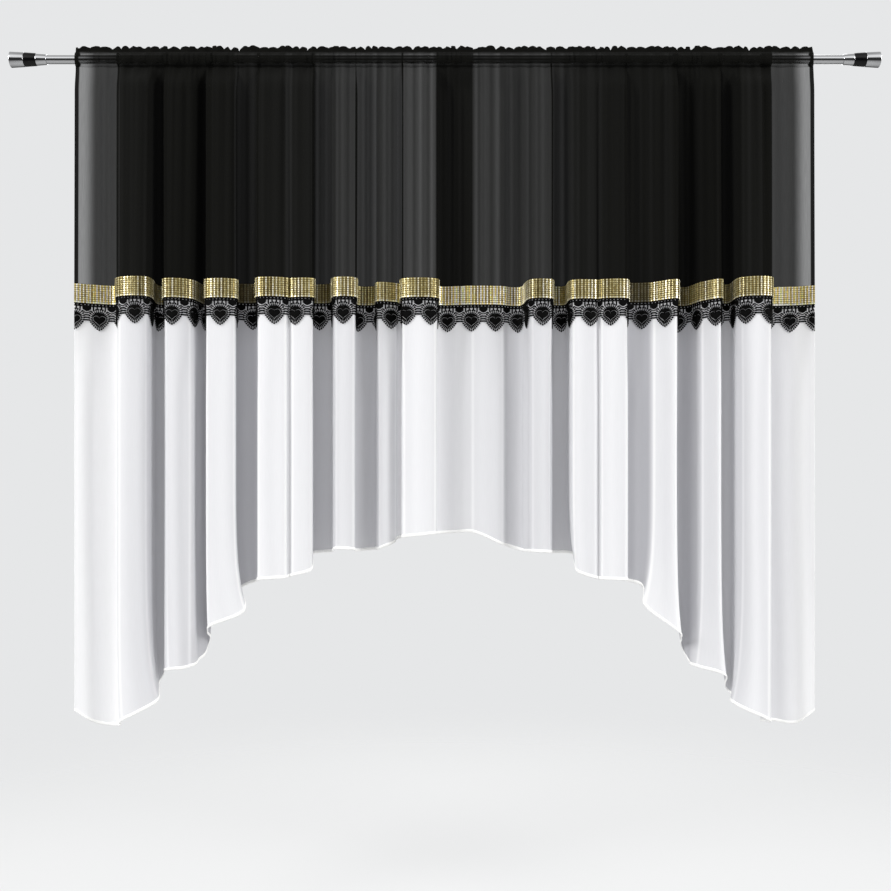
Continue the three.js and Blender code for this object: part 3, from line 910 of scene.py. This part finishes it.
def addHeart(bm):
    # a heart in its ground, and two rows of beads joined by short bars round them
    thick = lace["thick"]
    spots = [evenSpots(scallopLine(share), count) for share, _, count in lace["rows"]]
    for (_, bead, _), places in zip(lace["rows"], spots):
        for across, drop in places:
            addBead(bm, across, drop, bead, thick)
    for outer, inner in zip(*spots):
        addCord(bm, [outer, inner], 1.6, thick * 0.5)

    heart = heartLine(lace["heartWidth"], lace["heartHeight"], lace["heartTop"], lace["heartPoints"])
    middle = np.array([0.0, lace["heartTop"] + lace["heartHeight"] * 0.44])
    turns = roundTurns(lace["groundPoints"]) - math.pi
    rays = np.stack([np.cos(turns), np.sin(turns)], axis=-1)
    outer = byAngle(scallopLine(lace["ground"]), middle, turns)
    inner = byAngle(heart, middle, turns) + rays * 0.8
    front = lace["groundThick"]
    rings = [[bm.verts.new((p[0], -out, -p[1])) for p in line]
             for line, out in ((inner, 0.0), (inner, front), (outer, front), (outer, 0.0))]
    for k in range(4):
        ringFaces(bm, rings[k], rings[(k + 1) % 4])
    steps = ((0.96, thick * 0.75), (0.84, thick), (0.78, thick * 0.7), (0.4, thick * 0.9))
    addPad(bm, heart, middle, steps)
    for across in (-4.5, -1.5, 1.5, 4.5):
        addCord(bm, [(across * 1.5, 20.0), (across, 26.0)], 1.7, thick)


def cutUpright(bm, x, geometry):
    return bmesh.ops.bisect_plane(bm, geom=geometry, dist=1e-4, plane_co=(x, 0, 0), plane_no=(1, 0, 0))


def swapHalves(bm, span):
    # cut in two at the middle, and each half moved to the other side of the span
    cut = cutUpright(bm, 0, bm.verts[:] + bm.edges[:] + bm.faces[:])
    bmesh.ops.split_edges(bm, edges=[e for e in cut["geom_cut"] if isinstance(e, bmesh.types.BMEdge)])
    sides = [math.copysign(span / 2, vert.link_faces[0].calc_center_median().x) for vert in bm.verts]
    for vert, side in zip(bm.verts, sides):
        vert.co.x -= side
    bmesh.ops.holes_fill(bm, edges=[e for e in bm.edges if e.is_boundary])


def laceMotif():
    # from the middle of one heart to the middle of the next, with the valley between them
    bm = bmesh.new()
    addHeart(bm)
    swapHalves(bm, scallop)
    half = scallop / 2
    thick = lace["thick"]

    addPad(bm, lace["leaf"], lace["leafMiddle"], ((0.8, thick * 0.9), (0.45, thick)))
    addCord(bm, lace["leafCord"], 2.4, thick * 0.8)
    for drop, reach in lace["bars"]:
        addCord(bm, [(-reach, drop), (reach, drop)], 3.2, thick * 0.8)

    along = np.linspace(-half, half, 13)
    for drop, width, height in lace["headingCords"]:
        addCord(bm, [(x, drop) for x in along], width, height)
    for k in range(lace["headingBars"]):
        x = (k - (lace["headingBars"] - 1) / 2) * scallop / lace["headingBars"]
        addCord(bm, [(x, 1.0), (x, 4.6)], 5.2, thick * 0.7)
    for inset in (4.6, 12.6):
        for x in (inset - half, half - inset):
            addCord(bm, [(x, 6.0), (x, 12.0 + 0.25 * inset)], 3.4, thick * 0.7)
    bmesh.ops.recalc_face_normals(bm, faces=bm.faces)

    # upright cuts through the wide faces, so that they bend with the cloth
    for x in np.arange(-6, 7) * half / 6.5:
        wide = []
        for face in bm.faces:
            spots = [vert.co.x for vert in face.verts]
            if min(spots) < x < max(spots) and max(spots) - min(spots) > lace["widest"]:
                wide.append(face)
        around = {part for face in wide for part in (*face.verts, *face.edges)}
        cutUpright(bm, x, wide + list(around))
    return looseObject("laceMotif", bm)


heartLace = repeatPiece("heart_lace", clothTree, {
    "Path": seamCurve, "Piece": laceMotif(), "Finish": finishes["blackGuipure"],
    "Columns": lace["scallops"], "Rows": 1, "Seed": 31,
    "Pitch": scallop * mm, "Row Pitch": 0.0,
    "Top": (seam["bandTop"] - seam["bandHeight"]) * mm, "Out": 0.7 * mm,
    "Column Turn": 0.0, "Tilt": 0.0, "Lift": seam["lift"],
})
settle(heartLace, "blackGuipure", "black_lace", "lace_trim")
bpy.data.objects.remove(seamCurve)

print("rod and finials")


def turned(name, profile, side, steps=64):
    # a turned piece round the rod's axis, from (distance along X, radius) points
    bm = bmesh.new()
    rings, ends = [], []
    for x, radius in profile:
        if radius < 1e-6:
            ends.append(bm.verts.new((side * x, 0, 0)))
            rings.append(None)
        else:
            spots = [(side * x, radius * math.cos(a), radius * math.sin(a)) for a in roundTurns(steps)]
            rings.append([bm.verts.new(spot) for spot in spots])
    for low, high in zip(rings, rings[1:]):
        if low and high:
            ringFaces(bm, low, high)
        else:
            tip = ends.pop(0)
            ring = low or high
            for k in range(steps):
                bm.faces.new((ring[k], ring[(k + 1) % steps], tip))
    bmesh.ops.recalc_face_normals(bm, faces=bm.faces)
    piece = looseObject(name, bm)
    piece.data.shade_smooth()
    piece.data.set_sharp_from_angle(angle=math.radians(40))
    return piece


def rounded(profile, radius):
    # profile with its inner corners turned into short arcs
    out = [profile[0]]
    for before, corner, after in zip(profile, profile[1:], profile[2:]):
        a, c, b = (np.array(p, float) for p in (before, corner, after))
        reach = min(radius, 0.45 * np.linalg.norm(a - c), 0.45 * np.linalg.norm(b - c))
        start = c + (a - c) / np.linalg.norm(a - c) * reach
        end = c + (b - c) / np.linalg.norm(b - c) * reach
        for t in (0.0, 0.25, 0.5, 0.75, 1.0):
            out.append(tuple((1 - t) ** 2 * start + 2 * t * (1 - t) * c + t * t * end))
    return out + [profile[-1]]


rod = {"end": 897.7, "radius": 9.5}
socket = {"radius": 9.8, "depth": 20.0}     # in each cone, where the rod's end sits
edgeRadius = 0.9
finialParts = (
    # name, start, end, start radius, end radius, finish, slot
    ("cone", 878.0, 901.0, 11.0, 12.75, "chromePlatedSteel", "chrome"),
    ("ring", 901.3, 926.8, 13.5, 15.25, "blackEnamel", "black_enamel"),
    ("end", 927.1, 957.6, 15.5, 17.25, "chromePlatedSteel", "chrome"),
)
rodProfile = [(-rod["end"], 0), (-rod["end"], rod["radius"]), (rod["end"], rod["radius"]), (rod["end"], 0)]
settle(turned("rod_tube", rodProfile, 1), "chromePlatedSteel", "chrome", "rod")
for sideName, side in (("left", -1), ("right", 1)):
    for part, start, end, startRadius, endRadius, finish, slot in finialParts:
        profile = [(start, startRadius), (end, endRadius), (end, 0.0)]
        if part == "cone":
            deep = start + socket["depth"]
            profile = [(deep, 0.0), (deep, socket["radius"]), (start, socket["radius"])] + profile
        else:
            profile.insert(0, (start, 0.0))
        node = f"finial_{sideName}_{part}"
        piece = turned(node + "_turned", rounded(profile, edgeRadius), side)
        settle(piece, finish, slot, node)

print("stage, light and camera")

stage = {"floorZ": -1.95, "floorSize": 3.2, "fadeFrom": 1.3, "fadeTo": 3.104, "background": "#E6E7E8"}


def palePaint(tree):
    # Matt pale paint that melts into the background far out, and is dim in the chrome's underside
    where = addNode(tree, "ShaderNodeTexCoord")
    spot = addNode(tree, "ShaderNodeVectorMath", {"operation": "SUBTRACT", 1: (0, 0, stage["floorZ"])},
                   {0: where.outputs["Object"]})
    far = addNode(tree, "ShaderNodeVectorMath", {"operation": "LENGTH"}, {0: spot})
    fade = addNode(tree, "ShaderNodeMapRange", {
        "From Min": stage["fadeFrom"], "From Max": stage["fadeTo"], "interpolation_type": "SMOOTHSTEP",
    }, {"Value": far.outputs["Value"]})
    paint = addNode(tree, "ShaderNodeBsdfPrincipled", {"Base Color": hexColor("#F3F3F2"), "Roughness": 0.8})
    ray = addNode(tree, "ShaderNodeLightPath")
    power = addNode(tree, "ShaderNodeMath", {"operation": "MULTIPLY_ADD", 1: -0.8, 2: 1.0},
                    {0: ray.outputs["Is Glossy Ray"]})
    white = addNode(tree, "ShaderNodeEmission", {"Color": hexColor(stage["background"])}, {"Strength": power})
    both = addNode(tree, "ShaderNodeMixShader", {0: 0.7}, {1: paint, 2: white})
    clear = addNode(tree, "ShaderNodeBsdfTransparent")
    return addNode(tree, "ShaderNodeMixShader", None, {0: fade, 1: both, 2: clear})


def makeFloor():
    bm = bmesh.new()
    bmesh.ops.create_circle(bm, cap_ends=True, segments=96, radius=stage["floorSize"])
    mesh = bpy.data.meshes.new("floor")
    bm.to_mesh(mesh)
    bm.free()
    mesh.transform(Matrix.Translation((0, 0, stage["floorZ"])))
    mesh.materials.append(newMaterial(palePaint))
    addObject("floor", mesh)


def addLight(name, place, target, size, power):
    data = bpy.data.lights.new(name, "AREA")
    data.shape = "RECTANGLE"
    data.size, data.size_y = size
    data.energy = power
    lamp = addObject(name, data)
    lamp.location = place
    lamp.rotation_mode = "QUATERNION"
    lamp.rotation_quaternion = (Vector(target) - Vector(place)).to_track_quat("-Z", "Y")


# how bright the studio is around the object, from straight down (-1) to straight up (1)
studioLevels = ((-1.0, 0.12), (1.0, 0.30), (-0.60, 0.30), (-0.48, 0.03), (0.16, 0.03), (0.24, 0.75),
                (0.60, 1.00), (0.85, 0.55))


def makeWorld():
    world = bpy.data.worlds.new("studio")
    world.use_nodes = True
    tree = world.node_tree
    tree.nodes.clear()
    ray = addNode(tree, "ShaderNodeLightPath")
    where = addNode(tree, "ShaderNodeTexCoord")
    up = addNode(tree, "ShaderNodeSeparateXYZ", None, {"Vector": where.outputs["Generated"]})
    height = addNode(tree, "ShaderNodeMapRange", {"From Min": -1.0, "From Max": 1.0},
                     {"Value": up.outputs["Z"]})
    stops = [((z + 1) / 2, (level, level, level, 1.0)) for z, level in studioLevels]
    room = addNode(tree, "ShaderNodeValToRGB", {"stops": stops}, {"Fac": height})
    around = addNode(tree, "ShaderNodeBackground", {"Strength": 1.0}, {"Color": room})
    seen = addNode(tree, "ShaderNodeBackground", {"Color": hexColor(stage["background"])})
    both = addNode(tree, "ShaderNodeMixShader", None,
                   {0: ray.outputs["Is Camera Ray"], 1: around, 2: seen})
    addNode(tree, "ShaderNodeOutputWorld", None, {"Surface": both})
    bpy.context.scene.world = world


def makeCamera():
    # the photo's eye: level, 2.6 m in front of the rod and 0.97 m below it
    data = bpy.data.cameras.new("camera")
    data.sensor_width = 36.0
    data.lens = 47.6
    data.shift_x, data.shift_y = 0.0006, 0.0612
    camera = addObject("camera", data)
    camera.location = (0.0, -2.6, -0.972)
    camera.rotation_euler = (math.pi / 2, 0.0, 0.0)
    bpy.context.scene.camera = camera


makeFloor()
addLight("key", (-3.0, -2.4, 0.9), (0, 0, -0.8), (1.4, 2.2), 115)
addLight("fill", (3.0, -2.4, 0.6), (0, 0, -0.8), (1.4, 2.2), 95)
addLight("back", (0.6, 2.8, 1.2), (0, 0, -0.8), (2.4, 2.0), 40)
makeWorld()
makeCamera()
bpy.context.scene.view_settings.view_transform = "Standard"
bpy.context.scene.cycles.transparent_max_bounces = 32

print("done")
